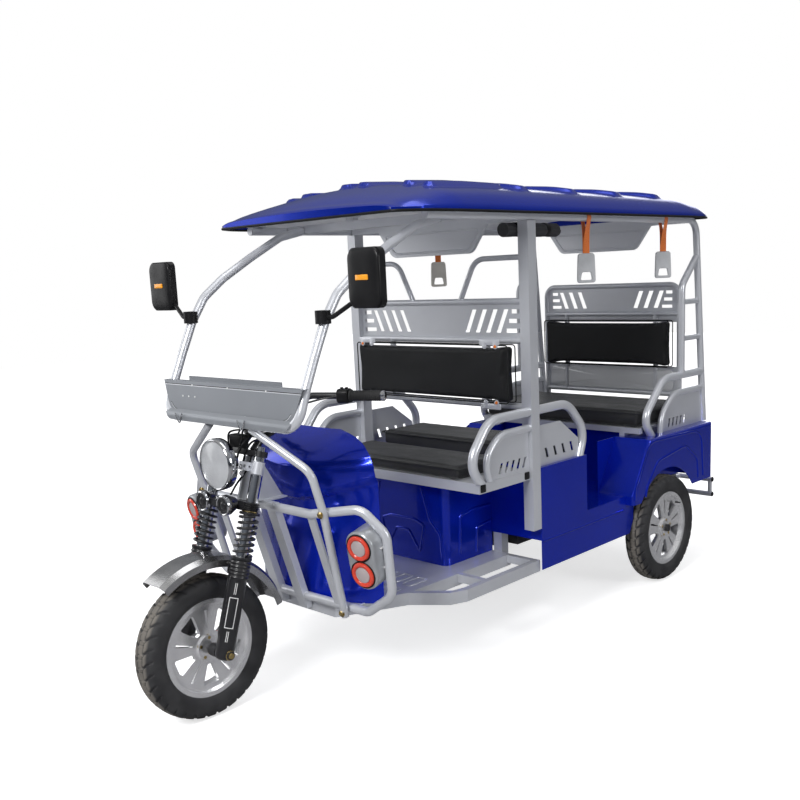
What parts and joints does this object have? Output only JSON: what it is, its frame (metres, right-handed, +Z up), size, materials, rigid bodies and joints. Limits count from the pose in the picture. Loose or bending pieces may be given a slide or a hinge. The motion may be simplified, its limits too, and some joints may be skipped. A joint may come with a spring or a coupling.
{
  "type": "auto rickshaw",
  "caption": "Three-wheeled passenger vehicle with a steered front wheel, an open cab, back-to-back benches and a ribbed roof.",
  "frame": {"origin": "on the ground under the middle of the vehicle's box", "axes": "+X to the vehicle's left, +Y to its rear, +Z up"},
  "size_m": [1.2, 2.812, 1.7116],
  "materials": {
    "tyre_rubber": "black rubber",
    "cast_alloy": "machined cast alloy",
    "dark_steel": "dark painted steel",
    "black_gloss": "satin black",
    "chrome_tube": "polished chrome",
    "silver_paint": "silver powder coat",
    "headlamp_chrome": "bright rim",
    "clear_lens": "clear lens",
    "grip_rubber": "ribbed rubber",
    "pod_plastic": "silver plastic",
    "red_lens": "red ringed lamps",
    "blue_paint": "metallic blue lacquer",
    "mirror_plastic": "black plastic housing",
    "black_vinyl": "grained black vinyl",
    "battery_case": "dark battery cases",
    "handle_plastic": "pale plastic with orange strap",
    "curtain_cloth": "rolled dark sheet"
  },
  "bodies": {
    "chassis": {"rear_axle": "dark_steel", "leaf_springs": "dark_steel", "drive_motor": "black_gloss", "neck": "silver_paint", "front_guard": "silver_paint", "guard_stays": "silver_paint", "windscreen_hoop": "silver_paint", "roof_rails": "silver_paint", "roof_beams": "silver_paint", "roof_bows": "silver_paint", "pillars": "silver_paint", "driver_back_frame": "silver_paint", "seat_tray": "silver_paint", "front_armrests": "silver_paint", "middle_armrests": "silver_paint", "rear_armrests": "silver_paint", "front_floor": "silver_paint", "side_steps": "silver_paint", "bench_frame": "silver_paint", "rear_back_frame": "silver_paint", "rear_bumper": "silver_paint", "dash_panel": "silver_paint", "pad_clips": "silver_paint", "chassis_rails": "silver_paint", "lamp_pods": "pod_plastic", "pod_lamps": "red_lens", "leg_shield": "blue_paint", "roof_shell": "blue_paint", "seat_box": "blue_paint", "passenger_tub": "blue_paint", "fenders": "blue_paint", "mirrors": "mirror_plastic", "driver_back_pad": "black_vinyl", "driver_cushion": "black_vinyl", "rear_facing_cushion": "black_vinyl", "rear_cushion": "black_vinyl", "rear_back_pad": "black_vinyl", "battery_pack": "battery_case", "grab_handles": "handle_plastic", "curtain_roll": "curtain_cloth"},
    "steering": {"steering_yokes": "black_gloss", "fork_tubes": "chrome_tube", "fork_legs": "black_gloss", "fork_springs": "black_gloss", "mudguard": "silver_paint", "headlamp": "headlamp_chrome", "headlamp_lens": "clear_lens", "lamp_bracket": "silver_paint", "spot_lamps": "black_gloss", "handlebar": "black_gloss", "grips": "grip_rubber", "front_axle": "dark_steel"},
    "front_wheel": {"front_tyre": "tyre_rubber", "front_rim": "cast_alloy"},
    "rear_wheel_left": {"rear_tyre_left": "tyre_rubber", "rear_rim_left": "cast_alloy"},
    "rear_wheel_right": {"rear_tyre_right": "tyre_rubber", "rear_rim_right": "cast_alloy"}
  },
  "joints": [
    {"name": "steering_turn", "type": "hinge", "parent": "chassis", "child": "steering", "pos_m": [0, -0.9745, 0.67796], "axis": [0, 0.309, 0.9511], "range_deg": [-35, 35]},
    {"name": "front_wheel_spin", "type": "hinge", "parent": "steering", "child": "front_wheel", "pos_m": [0, -1.171, 0.235], "axis": [1, 0, 0], "continuous": true},
    {"name": "rear_left_wheel_spin", "type": "hinge", "parent": "chassis", "child": "rear_wheel_left", "pos_m": [0.467, 0.904, 0.235], "axis": [1, 0, 0], "continuous": true},
    {"name": "rear_right_wheel_spin", "type": "hinge", "parent": "chassis", "child": "rear_wheel_right", "pos_m": [-0.467, 0.904, 0.235], "axis": [1, 0, 0], "continuous": true}
  ]
}
